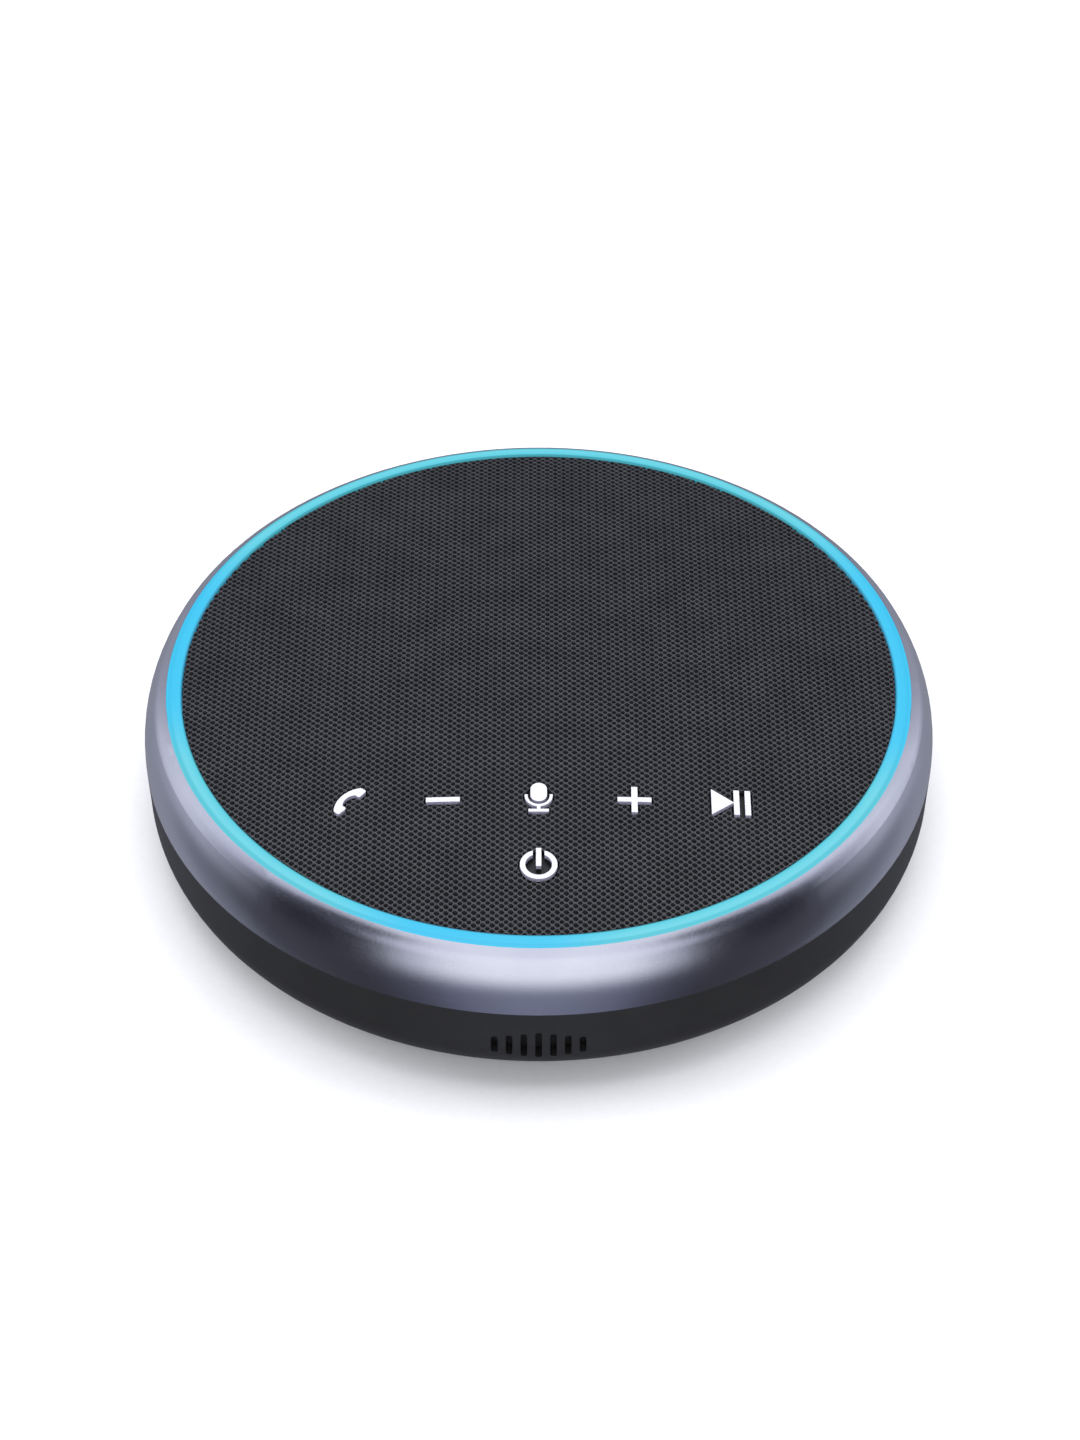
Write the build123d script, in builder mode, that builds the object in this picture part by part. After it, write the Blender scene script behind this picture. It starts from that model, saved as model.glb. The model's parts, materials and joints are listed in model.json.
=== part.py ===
from build123d import *
import os
from math import asin, cos, degrees, radians, sin, sqrt

# Conference speakerphone: a round table-top puck.
# Millimetres, +Z up. The front, with the keys and the vent slots, faces -Y.
# The origin is on the table, at the centre of the foot.

# Heights above the table
underside_z = 2.0
floor_z = 3.8
seam_z = 17.8
ring_outer_z = 28.0
ring_plane_z = 28.2
dome_rise = 3.5

# Outline radii
seam_radius = 62.5
band_top_radius = 58.6
grille_opening_radius = 56.2

# Bowl
bowl_arc_radius = 9.0
bowl_arc_centre_r = 53.2
bowl_arc_centre_z = underside_z + bowl_arc_radius
bowl_wall = 1.8
lip_inner_radius = 59.8
lip_outer_radius = 61.0
lip_top_z = 19.4
lip_root_z = 15.0

# Foot
foot_inner_radius = 37.5
foot_outer_radius = 48.5
foot_recess_depth = 0.8
foot_gap = 0.1
foot_edge_fillet = 0.6

# Front vent: upright slots, tallest in the middle
slot_pitch = 2.2
slot_width = 1.0
slot_heights = [6.1, 5.4, 4.6, 3.7]
slot_centre_z = 10.8
wall_cut_start = lip_inner_radius - 4.0
wall_cut_depth = 10.0
vent_mesh_gap = 0.05
vent_mesh_thickness = 0.4
vent_mesh_width = 19.0
vent_mesh_low_angle = 34.0
vent_mesh_top_z = 14.6

# Metal band
band_wall = 1.3
band_arc_start_z = 18.9
band_arc_radius = 15.1
band_turn_z = 26.2
band_inner_turn_z = 25.6
band_lip_bottom_z = 26.5

# Chassis deck, which is also the speaker's baffle
deck_bottom_z = 21.0
deck_top_z = 22.6
board_ledge_z = 23.4
ledge_inner_radius = 53.0
rim_inner_radius = 57.0
rim_step_radius = 58.4
rim_outer_radius = 60.9
rim_bottom_z = 19.6

# Upper boards
board_thickness = 1.0
upper_board_top_z = board_ledge_z + board_thickness
led_board_inner_radius = 52.0
led_board_outer_radius = 58.4
led_count = 24
led_radius = 57.05
led_radial = 1.5
led_tangential = 3.0
led_height = 0.8
key_board_radius = 50.0
key_board_back_y = -23.5
key_board_half_width = 41.0
key_board_screw_places = [(-37.0, -27.0), (37.0, -27.0), (-12.0, -45.5), (12.0, -45.5)]
key_board_boss_radius = 2.2
jumper_width = 6.0
jumper_thickness = 0.2
jumper_corner = 0.5
jumper_inner_y = -48.4
jumper_outer_y = -54.2

# Light ring
light_ring_outer_radius = 58.55
light_ring_bottom_z = 25.6
light_ring_leg_inner_radius = 57.95
light_ring_crown = 0.1

# Grille and its carrier
grille_thickness = 0.5
acoustic_mesh_thickness = 0.3
grille_radius = 56.1
icon_clearance = 0.3
carrier_inner_radius = 50.6
carrier_bottom_z = 26.2
carrier_leg_count = 8
carrier_leg_angle = 22.5
carrier_leg_circle = carrier_inner_radius + 0.6
carrier_leg_radial = 0.96
carrier_leg_tangential = 5.0
carrier_sound_hole_radius = 1.2

# Microphones
microphone_count = 4
microphone_radius = 54.0
microphone_angle = 45.0
microphone_radial = 2.7
microphone_tangential = 3.5
microphone_height = 1.0
microphone_port_radius = 0.3
microphone_port_depth = 0.4
boot_wall = 0.6
boot_corner = 0.5
boot_fit = 0.05
boot_height = 1.8
sound_hole_radius = 0.6

# Keys
key_pitch = 14.5
key_row_y = -30.0
power_key_y = -43.1
icon_rise = 0.3
icon_width = 5.15
icon_stroke = 0.93
icon_corner = 0.35
yoke_radius = 2.12
yoke_stroke = 0.46
yoke_y = 0.53
yoke_fill_radius = 1.9
power_ring_radius = 2.81
power_ring_stroke = 0.81
power_fill_radius = 2.6
pause_bar_x = 0.98
pause_bar_y = 0.1
pause_bar_pitch = 1.7
pause_bar_width = 0.86
pause_bar_height = 4.98
flange_size = 8.4
flange_corner = 1.6
flange_thickness = 0.9
flange_gap = 0.3
stem_radius = 1.6

# Tactile switches
switch_size = 5.2
switch_corner = 0.3
switch_height = 1.6
switch_well_radius = 1.7
switch_well_depth = 1.2
plunger_radius = 1.5
plunger_length = 1.4
plunger_chamfer = 0.15
plunger_proud = 0.6

# Speaker driver
driver_y = 12.0
driver_flange_radius = 22.4
driver_flange_bottom_z = 25.4
driver_flange_top_z = 26.6
driver_hole_radius = 17.7
baffle_ring_radius = 23.0
baffle_ring_top_z = 24.9
driver_screw_count = 4
driver_screw_circle = 20.5
driver_screw_angle = 45.0
basket_bottom_z = 18.0
magnet_bottom_z = 13.6
magnet_top_z = 16.8
yoke_bottom_z = 12.4
plate_radius = 13.0
magnet_inner_radius = 8.6
magnet_outer_radius = 13.4
gap_outer_radius = 7.6
pole_radius = 6.5
coil_inner_radius = 6.75
coil_outer_radius = 7.35
coil_bottom_z = 15.6
coil_top_z = 21.0
cone_rim_radius = 13.8
surround_roll_centre = 15.65
surround_roll_radius = 1.9
surround_thickness = 0.3
surround_overlap = 1.2

# Main board
main_board_bottom_z = 7.0
main_board_thickness = 1.2
main_board_top_z = main_board_bottom_z + main_board_thickness
main_board_radius = 58.0
main_board_front_y = 3.0
main_board_half_width = 42.0
main_board_screw_places = [(-38.0, 7.5), (38.0, 7.5), (-27.0, 46.0), (27.0, 46.0)]
standoff_radius = 2.6

# Ports
usb_x = -8.0
usb_width = 8.94
usb_height = 3.26
usb_shell = 0.3
usb_length = 7.3
usb_mouth_y = 60.0
usb_centre_z = main_board_top_z + usb_height / 2
usb_opening_gap = 0.3
usb_back_wall = 1.0
usb_tongue_width = 6.69
usb_tongue_thickness = 0.7
usb_tongue_setback = 0.9
jack_x = 10.0
jack_width = 6.4
jack_height = 5.0
jack_back_y = 45.0
jack_shoulder_y = 58.0
jack_mouth_y = 60.2
jack_nose_radius = 2.4
jack_bore_radius = 1.85
jack_bore_length = 14.0
jack_opening_radius = 2.9
jack_centre_z = main_board_top_z + jack_height / 2

# Battery
battery_width = 50.0
battery_depth = 34.0
battery_height = 8.0
battery_y = -22.0
battery_pad_thickness = 0.5
battery_corner = 2.5
battery_fillet = 0.8
battery_pad_inset = 3.0
tray_gap = 0.2
tray_wall = 1.2
tray_height = 3.0

# Fasteners
housing_screw_count = 4
housing_screw_circle = 43.0
housing_screw_angle = 45.0
housing_column_radius = 3.2
housing_column_top_z = 12.5
housing_head_radius = 2.3
housing_head_height = 1.6
housing_head_seat_z = 4.6
housing_shank_radius = 1.25
housing_shank_length = 13.4
chassis_boss_radius = 2.9
chassis_boss_hole_depth = 6.5
small_head_radius = 1.8
small_head_height = 1.1
small_shank_length = 3.0
small_screw_hole_depth = 3.2
small_shank_radius = 0.9
small_clearance_radius = 1.1
thread_gap = 0.02
screw_gap = 0.15
recess_width_share = 0.35
recess_length_share = 1.3
recess_depth_share = 0.6
head_round_share = 0.45
tip_chamfer_share = 0.4

# Packages on the main board
chip_edge = 0.2
inductor_edge = 0.6
capacitor_radius = 2.0
capacitor_height = 4.0
capacitor_fillet = 0.3
capacitor_places = [(5, 34), (11, 34), (17, 38), (22, 40)]

# Wires
lead_radius = 0.4
arc_share = 0.45
ribbon_x = 20.0
ribbon_width = 8.0
ribbon_thickness = 0.25
ribbon_slot_width = 9.4
ribbon_slot_front_y = -22.4
ribbon_slot_back_y = -16.8
connector_width = 10.0
connector_depth = 4.0

dome_radius = (grille_opening_radius**2 + dome_rise**2) / (2 * dome_rise)
dome_centre_z = ring_plane_z + dome_rise - dome_radius
driver_axis = Axis((0, driver_y, 0), (0, 0, 1))
driver_section = Plane.XZ.offset(-driver_y)

os.makedirs("parts", exist_ok=True)


def save(piece, name):
    """Label a finished piece and write it as a STEP file of its own."""
    piece.part.label = name
    export_step(piece.part, f"parts/{name}.step")


def dome_height(distance, lift=0.0):
    """Height of the dome's surface, moved along its normal by lift, at a distance from the centre."""
    return dome_centre_z + sqrt((dome_radius + lift) ** 2 - distance**2)


def under_dome(lift, radius=grille_opening_radius):
    """Everything below the dome's surface moved by lift, out to a radius."""
    middle = radius / 2
    with BuildPart() as body:
        with BuildSketch(Plane.XZ):
            with BuildLine():
                ThreePointArc(
                    (0, dome_height(0, lift)),
                    (middle, dome_height(middle, lift)),
                    (radius, dome_height(radius, lift)),
                )
                Polyline((radius, dome_height(radius, lift)), (radius, 0), (0, 0), (0, dome_height(0, lift)))
            make_face()
        revolve(axis=Axis.Z)
    return body.part


def tangent_radii(points):
    """Largest easy radius at each corner of a wire's route: a share of the shorter run beside it."""
    radii = []
    for before, corner, after in zip(points, points[1:], points[2:]):
        run_in = Vector(*corner) - Vector(*before)
        run_out = Vector(*after) - Vector(*corner)
        half_turn = radians(run_in.get_angle(run_out) / 2)
        shorter = min(run_in.length, run_out.length)
        radii.append(arc_share * shorter * cos(half_turn) / sin(half_turn))
    return radii


def route_length(path):
    """Length of a wire's route along its runs and arcs."""
    return sum(edge.length for edge in path.edges())


def make_screw(head_radius, head_height, shank_radius, shank_length):
    """Pan-head screw with a cross recess: its head stands on Z = 0 and its shank points down."""
    recess_width = head_radius * recess_width_share
    recess_length = head_radius * recess_length_share
    with BuildPart() as screw:
        with BuildSketch():
            Circle(head_radius)
        extrude(amount=head_height)
        fillet(screw.edges().group_by(Axis.Z)[-1], head_height * head_round_share)
        with BuildSketch(Plane.XY.offset(head_height)):
            Rectangle(recess_length, recess_width)
            Rectangle(recess_width, recess_length)
        extrude(amount=-head_height * recess_depth_share, mode=Mode.SUBTRACT)
        with BuildSketch():
            Circle(shank_radius)
        extrude(amount=-shank_length)
        chamfer(screw.edges().group_by(Axis.Z)[0], shank_radius * tip_chamfer_share)
    return screw.part


def chip(name, width, depth, height, places, edge=chip_edge):
    """One or more moulded packages standing on the main board."""
    with BuildPart() as package:
        for x, y in places:
            with BuildSketch(Plane.XY.offset(main_board_top_z)):
                with Locations((x, y)):
                    Rectangle(width, depth)
            extrude(amount=height)
        chamfer(package.edges().group_by(Axis.Z)[-1], edge)
    save(package, name)


# ---------------------------------------------------------------- case

with BuildPart() as base_housing:
    bowl_top = (bowl_arc_centre_r + bowl_arc_radius, bowl_arc_centre_z)
    bowl_inner_top = (bowl_arc_centre_r + bowl_arc_radius - bowl_wall, bowl_arc_centre_z)
    with BuildSketch(Plane.XZ):
        with BuildLine():
            Line((0, underside_z), (bowl_arc_centre_r, underside_z))
            CenterArc((bowl_arc_centre_r, bowl_arc_centre_z), bowl_arc_radius, -90, 90)
            Polyline(
                bowl_top,
                (seam_radius, seam_z),
                (lip_outer_radius, seam_z),
                (lip_outer_radius, lip_top_z),
                (lip_inner_radius, lip_top_z),
                (lip_inner_radius, lip_root_z),
                bowl_inner_top,
            )
            CenterArc((bowl_arc_centre_r, bowl_arc_centre_z), bowl_arc_radius - bowl_wall, -90, 90)
            Polyline((bowl_arc_centre_r, floor_z), (0, floor_z), (0, underside_z))
        make_face()
    revolve(axis=Axis.Z)
    # Recess that the foot is glued into
    with BuildSketch(Plane.XY.offset(underside_z)):
        Circle(foot_outer_radius + foot_gap)
        Circle(foot_inner_radius - foot_gap, mode=Mode.SUBTRACT)
    extrude(amount=foot_recess_depth, mode=Mode.SUBTRACT)
    # Screw columns, with the screw heads sunk under the foot
    foot_seat_z = underside_z + foot_recess_depth
    with BuildSketch(Plane.XY.offset(foot_seat_z)):
        with PolarLocations(housing_screw_circle, housing_screw_count, start_angle=housing_screw_angle):
            Circle(housing_column_radius)
    extrude(amount=housing_column_top_z - foot_seat_z)
    with Locations(Plane(origin=(0, 0, foot_seat_z), z_dir=(0, 0, -1))):
        with PolarLocations(housing_screw_circle, housing_screw_count, start_angle=housing_screw_angle):
            CounterBoreHole(
                radius=housing_shank_radius + screw_gap,
                counter_bore_radius=housing_head_radius + screw_gap,
                counter_bore_depth=housing_head_seat_z - foot_seat_z,
                depth=housing_column_top_z,
            )
    # Standoffs for the main board
    with BuildSketch(Plane.XY.offset(floor_z)):
        with Locations(*main_board_screw_places):
            Circle(standoff_radius)
            Circle(small_shank_radius + thread_gap, mode=Mode.SUBTRACT)
    extrude(amount=main_board_bottom_z - floor_z)
    # Battery tray
    tray_inner_width = battery_width + 2 * tray_gap
    tray_inner_depth = battery_depth + 2 * tray_gap
    tray_outer_width = tray_inner_width + 2 * tray_wall
    tray_outer_depth = tray_inner_depth + 2 * tray_wall
    with BuildSketch(Plane.XY.offset(floor_z)):
        with Locations((0, battery_y)):
            RectangleRounded(tray_outer_width, tray_outer_depth, battery_corner)
            Rectangle(tray_inner_width, tray_inner_depth, mode=Mode.SUBTRACT)
    extrude(amount=tray_height)
    # Front vent slots
    slots_each_side = len(slot_heights) - 1
    with BuildSketch(Plane.XZ.offset(wall_cut_start)):
        for place in range(-slots_each_side, slots_each_side + 1):
            with Locations((place * slot_pitch, slot_centre_z)):
                SlotOverall(slot_heights[abs(place)], slot_width, rotation=90)
    extrude(amount=wall_cut_depth, mode=Mode.SUBTRACT)
    # Rear openings for the charging port and the audio jack
    with BuildSketch(Plane.XZ.offset(-wall_cut_start)):
        with Locations((usb_x, usb_centre_z)):
            SlotOverall(usb_width + 2 * usb_opening_gap, usb_height + 2 * usb_opening_gap)
        with Locations((jack_x, jack_centre_z)):
            Circle(jack_opening_radius)
    extrude(amount=-wall_cut_depth, mode=Mode.SUBTRACT)
save(base_housing, "base_housing")

with BuildPart() as vent_mesh:
    # Fine mesh stuck to the inside of the bowl, over the slots
    mesh_outer = bowl_arc_radius - bowl_wall - vent_mesh_gap
    mesh_inner = mesh_outer - vent_mesh_thickness
    mesh_centre = (bowl_arc_centre_r, bowl_arc_centre_z)
    mesh_top_outer = (lip_inner_radius - vent_mesh_gap, vent_mesh_top_z)
    mesh_top_inner = (lip_inner_radius - vent_mesh_gap - vent_mesh_thickness, vent_mesh_top_z)
    with BuildSketch(Plane.XZ):
        with BuildLine():
            outer_arc = CenterArc(mesh_centre, mesh_outer, -vent_mesh_low_angle, vent_mesh_low_angle)
            inner_arc = CenterArc(mesh_centre, mesh_inner, -vent_mesh_low_angle, vent_mesh_low_angle)
            Polyline(outer_arc @ 1, mesh_top_outer, mesh_top_inner, inner_arc @ 1)
            Line(inner_arc @ 0, outer_arc @ 0)
        make_face()
    revolve(axis=Axis.Z)
    with BuildSketch(Plane.XY):
        with Locations((0, -lip_inner_radius)):
            Rectangle(vent_mesh_width, vent_mesh_width)
    extrude(amount=seam_z, mode=Mode.INTERSECT)
save(vent_mesh, "vent_mesh")

with BuildPart() as rubber_foot:
    with BuildSketch():
        Circle(foot_outer_radius)
        Circle(foot_inner_radius, mode=Mode.SUBTRACT)
    extrude(amount=foot_seat_z)
    fillet(rubber_foot.edges().group_by(Axis.Z)[0], foot_edge_fillet)
save(rubber_foot, "rubber_foot")

band_arc_centre_r = seam_radius - band_arc_radius
band_turn_radius = band_arc_centre_r + sqrt(band_arc_radius**2 - (band_turn_z - band_arc_start_z) ** 2)
band_inner_arc = band_arc_radius - band_wall
band_inner_turn_rise = band_inner_turn_z - band_arc_start_z
band_inner_turn_radius = band_arc_centre_r + sqrt(band_inner_arc**2 - band_inner_turn_rise**2)
band_mid_z = (band_arc_start_z + band_turn_z) / 2
band_mid_rise = band_mid_z - band_arc_start_z
band_mid_radius = band_arc_centre_r + sqrt(band_arc_radius**2 - band_mid_rise**2)
band_inner_mid_radius = band_arc_centre_r + sqrt(band_inner_arc**2 - band_mid_rise**2)
with BuildPart() as metal_band:
    with BuildSketch(Plane.XZ):
        with BuildLine():
            Line((seam_radius, seam_z), (seam_radius, band_arc_start_z))
            side_arc = ThreePointArc(
                (seam_radius, band_arc_start_z),
                (band_mid_radius, band_mid_z),
                (band_turn_radius, band_turn_z),
            )
            band_turn = (band_turn_radius, band_turn_z)
            TangentArc(band_turn, (band_top_radius, ring_outer_z), tangent=side_arc % 1)
            Polyline(
                (band_top_radius, ring_outer_z),
                (band_top_radius, band_lip_bottom_z),
                (band_inner_turn_radius, band_inner_turn_z),
            )
            ThreePointArc(
                (band_inner_turn_radius, band_inner_turn_z),
                (band_inner_mid_radius, band_mid_z),
                (seam_radius - band_wall, band_arc_start_z),
            )
            Polyline(
                (seam_radius - band_wall, band_arc_start_z),
                (seam_radius - band_wall, seam_z),
                (seam_radius, seam_z),
            )
        make_face()
    revolve(axis=Axis.Z)
save(metal_band, "metal_band")

with BuildPart() as light_ring:
    ring_middle = (grille_opening_radius + light_ring_outer_radius) / 2
    ring_middle_z = (ring_plane_z + ring_outer_z) / 2 + light_ring_crown
    with BuildSketch(Plane.XZ):
        with BuildLine():
            ThreePointArc(
                (grille_opening_radius, ring_plane_z),
                (ring_middle, ring_middle_z),
                (light_ring_outer_radius, ring_outer_z),
            )
            Polyline(
                (light_ring_outer_radius, ring_outer_z),
                (light_ring_outer_radius, light_ring_bottom_z),
                (led_board_outer_radius, light_ring_bottom_z),
                (led_board_outer_radius, upper_board_top_z),
                (light_ring_leg_inner_radius, upper_board_top_z),
                (light_ring_leg_inner_radius, light_ring_bottom_z),
                (grille_opening_radius, light_ring_bottom_z),
                (grille_opening_radius, ring_plane_z),
            )
        make_face()
    revolve(axis=Axis.Z)
save(light_ring, "light_ring")

with BuildPart() as mid_frame:
    with BuildSketch(Plane.XZ):
        with BuildLine():
            Polyline(
                (0, deck_bottom_z),
                (rim_inner_radius, deck_bottom_z),
                (rim_inner_radius, rim_bottom_z),
                (rim_outer_radius, rim_bottom_z),
                (rim_outer_radius, deck_bottom_z),
                (rim_step_radius, deck_bottom_z),
                (rim_step_radius, board_ledge_z),
                (ledge_inner_radius, board_ledge_z),
                (ledge_inner_radius, deck_top_z),
                (0, deck_top_z),
                (0, deck_bottom_z),
            )
        make_face()
    revolve(axis=Axis.Z)
    # Raised ring that the speaker driver is screwed to
    with BuildSketch(Plane.XY.offset(deck_top_z)):
        with Locations((0, driver_y)):
            Circle(baffle_ring_radius)
    extrude(amount=baffle_ring_top_z - deck_top_z)
    with Locations((0, driver_y, baffle_ring_top_z)):
        Hole(driver_hole_radius, depth=baffle_ring_top_z - deck_bottom_z)
        with PolarLocations(driver_screw_circle, driver_screw_count, start_angle=driver_screw_angle):
            Hole(small_shank_radius + thread_gap, depth=small_screw_hole_depth)
    # Bosses under the key board
    with BuildSketch(Plane.XY.offset(deck_top_z)):
        with Locations(*key_board_screw_places):
            Circle(key_board_boss_radius)
    extrude(amount=board_ledge_z - deck_top_z)
    for x, y in key_board_screw_places:
        with Locations((x, y, board_ledge_z)):
            Hole(small_shank_radius + thread_gap, depth=board_ledge_z - deck_bottom_z)
    # Bosses that the housing screws bite into
    with BuildSketch(Plane.XY.offset(housing_column_top_z)):
        with PolarLocations(housing_screw_circle, housing_screw_count, start_angle=housing_screw_angle):
            Circle(chassis_boss_radius)
    extrude(amount=deck_bottom_z - housing_column_top_z)
    with BuildSketch(Plane.XY.offset(housing_column_top_z)):
        with PolarLocations(housing_screw_circle, housing_screw_count, start_angle=housing_screw_angle):
            Circle(housing_shank_radius + thread_gap)
    extrude(amount=chassis_boss_hole_depth, mode=Mode.SUBTRACT)
    # Slot for the ribbon cable
    with BuildSketch(Plane.XY.offset(deck_bottom_z)):
        with Locations((ribbon_x, (ribbon_slot_front_y + ribbon_slot_back_y) / 2)):
            Rectangle(ribbon_slot_width, ribbon_slot_back_y - ribbon_slot_front_y)
    extrude(amount=deck_top_z - deck_bottom_z, mode=Mode.SUBTRACT)
save(mid_frame, "mid_frame")

# ---------------------------------------------------------------- keys
# Each icon is drawn about its own centre, and again a little larger as the window that it rises through.


def draw_minus():
    """One level bar."""
    Rectangle(icon_width, icon_stroke)


def draw_plus():
    """A level bar and an upright one."""
    Rectangle(icon_width, icon_stroke)
    Rectangle(icon_stroke, icon_width)


def draw_microphone():
    """Capsule, the yoke under it, its stem and its base."""
    capsule_height = 3.76
    capsule_width = 2.5
    capsule_y = 1.31
    arm_height = 0.32
    stem_width = 0.56
    stem_height = 0.9
    stem_y = -1.85
    foot_width = 3.1
    foot_height = 0.58
    foot_y = -2.4
    with Locations((0, capsule_y)):
        SlotOverall(capsule_height, capsule_width, rotation=90)
    with BuildSketch(mode=Mode.PRIVATE) as yoke:
        with Locations((0, yoke_y)):
            Circle(yoke_radius)
            Circle(yoke_radius - yoke_stroke, mode=Mode.SUBTRACT)
        with Locations((0, yoke_y + yoke_radius / 2)):
            Rectangle(2 * yoke_radius, yoke_radius, mode=Mode.SUBTRACT)
        arm_x = yoke_radius - yoke_stroke / 2
        with Locations((-arm_x, yoke_y + arm_height / 2), (arm_x, yoke_y + arm_height / 2)):
            Rectangle(yoke_stroke, arm_height)
    add(yoke.sketch)
    with Locations((0, stem_y)):
        Rectangle(stem_width, stem_height)
    with Locations((0, foot_y)):
        Rectangle(foot_width, foot_height)


def draw_power():
    """Broken ring with a bar through its gap."""
    ring_gap = 1.75
    bar_width = 0.8
    bar_length = 3.51
    bar_y = 1.43
    with BuildSketch(mode=Mode.PRIVATE) as ring:
        Circle(power_ring_radius)
        Circle(power_ring_radius - power_ring_stroke, mode=Mode.SUBTRACT)
        with Locations((0, power_ring_radius)):
            Rectangle(ring_gap, power_ring_radius, mode=Mode.SUBTRACT)
    add(ring.sketch)
    with Locations((0, bar_y)):
        Rectangle(bar_width, bar_length)


def draw_play_pause():
    """Triangle that points right, then two bars."""
    arrow_bottom = (-2.84, -2.5)
    arrow_top = (-2.84, 2.64)
    arrow_tip = (0.6, 0.08)
    with BuildLine(mode=Mode.PRIVATE) as triangle:
        Polyline(arrow_bottom, arrow_tip, arrow_top, arrow_bottom)
    with BuildSketch(mode=Mode.PRIVATE) as arrow:
        add(triangle.line)
        make_face()
    add(arrow.sketch)
    with Locations((pause_bar_x, pause_bar_y), (pause_bar_x + pause_bar_pitch, pause_bar_y)):
        Rectangle(pause_bar_width, pause_bar_height)


def mirrored(point):
    """The same point on the other side of the icon's upright middle line."""
    return (-point[0], point[1])


def draw_handset():
    """Telephone handset, curved back towards its upper left."""
    back_top = (0, 1.86)
    back_end = (3.0, 0.72)
    ear_outer = (3.12, -0.36)
    ear_inner = (1.34, -0.44)
    grip_end = (1.4, 0.4)
    grip_top = (0, 0.96)
    handset_place = (0.53, 0.2)
    handset_turn = 48
    with BuildLine(mode=Mode.PRIVATE) as outline:
        ThreePointArc(mirrored(back_end), back_top, back_end)
        Polyline(back_end, ear_outer, ear_inner, grip_end)
        ThreePointArc(grip_end, grip_top, mirrored(grip_end))
        Polyline(mirrored(grip_end), mirrored(ear_inner), mirrored(ear_outer), mirrored(back_end))
    with BuildSketch(mode=Mode.PRIVATE) as handset:
        add(outline.line)
        make_face()
        fillet(handset.vertices(), icon_corner)
    with Locations(handset_place):
        add(handset.sketch, rotation=handset_turn)


def fill_power():
    """The middle of the ring, so that the window has no island."""
    Circle(power_fill_radius)


def fill_play_pause():
    """The strip between the two bars."""
    with Locations((pause_bar_x + pause_bar_pitch / 2, pause_bar_y)):
        Rectangle(pause_bar_pitch, pause_bar_height)


def fill_microphone():
    """The space between the capsule and its yoke."""
    with Locations((0, yoke_y)):
        Circle(yoke_fill_radius)


def fill_nothing():
    """For an icon whose window has no narrow bridges."""


keys = [
    ("call", -2 * key_pitch, key_row_y, draw_handset, fill_nothing),
    ("volume_down", -key_pitch, key_row_y, draw_minus, fill_nothing),
    ("mic_mute", 0, key_row_y, draw_microphone, fill_microphone),
    ("volume_up", key_pitch, key_row_y, draw_plus, fill_nothing),
    ("play_pause", 2 * key_pitch, key_row_y, draw_play_pause, fill_play_pause),
    ("power", 0, power_key_y, draw_power, fill_power),
]

plunger_top_z = upper_board_top_z + switch_height + plunger_proud
skin_thickness = grille_thickness + acoustic_mesh_thickness
icon_top = under_dome(icon_rise)
flange_top = under_dome(-skin_thickness - flange_gap)
cut_margin = 2.0
high_z = ring_plane_z + dome_rise + cut_margin

for key_name, key_x, key_y, draw_icon, _ in keys:
    flange_top_z = dome_height(sqrt(key_x**2 + key_y**2), -skin_thickness - flange_gap)
    flange_bottom_z = flange_top_z - flange_thickness
    key_base = Plane.XY.offset(flange_bottom_z)
    with BuildPart() as icon:
        with BuildSketch(key_base):
            with Locations((key_x, key_y)):
                draw_icon()
        extrude(amount=high_z - flange_bottom_z)
        add(icon_top, mode=Mode.INTERSECT)
    with BuildPart() as key:
        with BuildSketch(key_base):
            with Locations((key_x, key_y)):
                RectangleRounded(flange_size, flange_size, flange_corner)
        extrude(amount=high_z - flange_bottom_z)
        add(flange_top, mode=Mode.INTERSECT)
        with BuildSketch(key_base):
            with Locations((key_x, key_y)):
                Circle(stem_radius)
        extrude(amount=plunger_top_z - flange_bottom_z)
        add(icon.part)
    save(key, f"{key_name}_key")

    with BuildPart() as plunger:
        with BuildSketch(Plane.XY.offset(plunger_top_z)):
            with Locations((key_x, key_y)):
                Circle(plunger_radius)
        extrude(amount=-plunger_length)
        chamfer(plunger.edges().group_by(Axis.Z)[0], plunger_chamfer)
    save(plunger, f"{key_name}_plunger")

with BuildPart() as switch_bodies:
    for _, key_x, key_y, _, _ in keys:
        with BuildSketch(Plane.XY.offset(upper_board_top_z)):
            with Locations((key_x, key_y)):
                RectangleRounded(switch_size, switch_size, switch_corner)
        extrude(amount=switch_height)
        with Locations((key_x, key_y, upper_board_top_z + switch_height)):
            Hole(switch_well_radius, depth=switch_well_depth)
save(switch_bodies, "switch_bodies")

# ---------------------------------------------------------------- grille


def domed_sheet(name, top_lift, bottom_lift):
    """Sheet that follows the dome between two lifts, with a window for each icon."""
    with BuildPart() as sheet:
        with BuildSketch():
            Circle(grille_radius)
        extrude(amount=high_z)
        add(under_dome(top_lift), mode=Mode.INTERSECT)
        add(under_dome(bottom_lift), mode=Mode.SUBTRACT)
        for _, key_x, key_y, draw_icon, fill_icon in keys:
            with BuildSketch(Plane.XY.offset(ring_plane_z - cut_margin)):
                with Locations((key_x, key_y)):
                    draw_icon()
                    fill_icon()
                offset(amount=icon_clearance)
            extrude(amount=high_z, mode=Mode.SUBTRACT)
    save(sheet, name)


domed_sheet("grille", 0.0, -grille_thickness)
domed_sheet("acoustic_mesh", -grille_thickness, -skin_thickness)

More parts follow.
